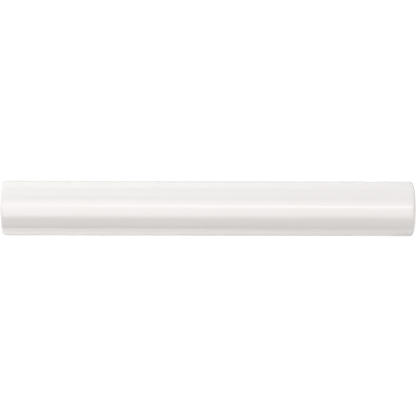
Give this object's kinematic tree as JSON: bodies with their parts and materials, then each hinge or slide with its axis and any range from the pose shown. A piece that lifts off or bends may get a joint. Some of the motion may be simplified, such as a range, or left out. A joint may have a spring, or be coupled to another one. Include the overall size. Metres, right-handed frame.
{
  "type": "astragal moulding tile",
  "caption": "Half-round glazed ceramic trim tile with soft ends and a keyed back, for capping or edging a run of wall tiles.",
  "frame": {"origin": "middle of the back, in the plane that lies on the wall", "axes": "+X along the tile, +Y across its face, +Z out of the wall towards the crest of the half round"},
  "size_m": [0.15, 0.02, 0.012],
  "materials": {
    "glaze": "glossy white glaze on a fired cream body, bare on the back"
  },
  "bodies": {
    "root": {"astragal_tile": "glaze"}
  },
  "joints": []
}
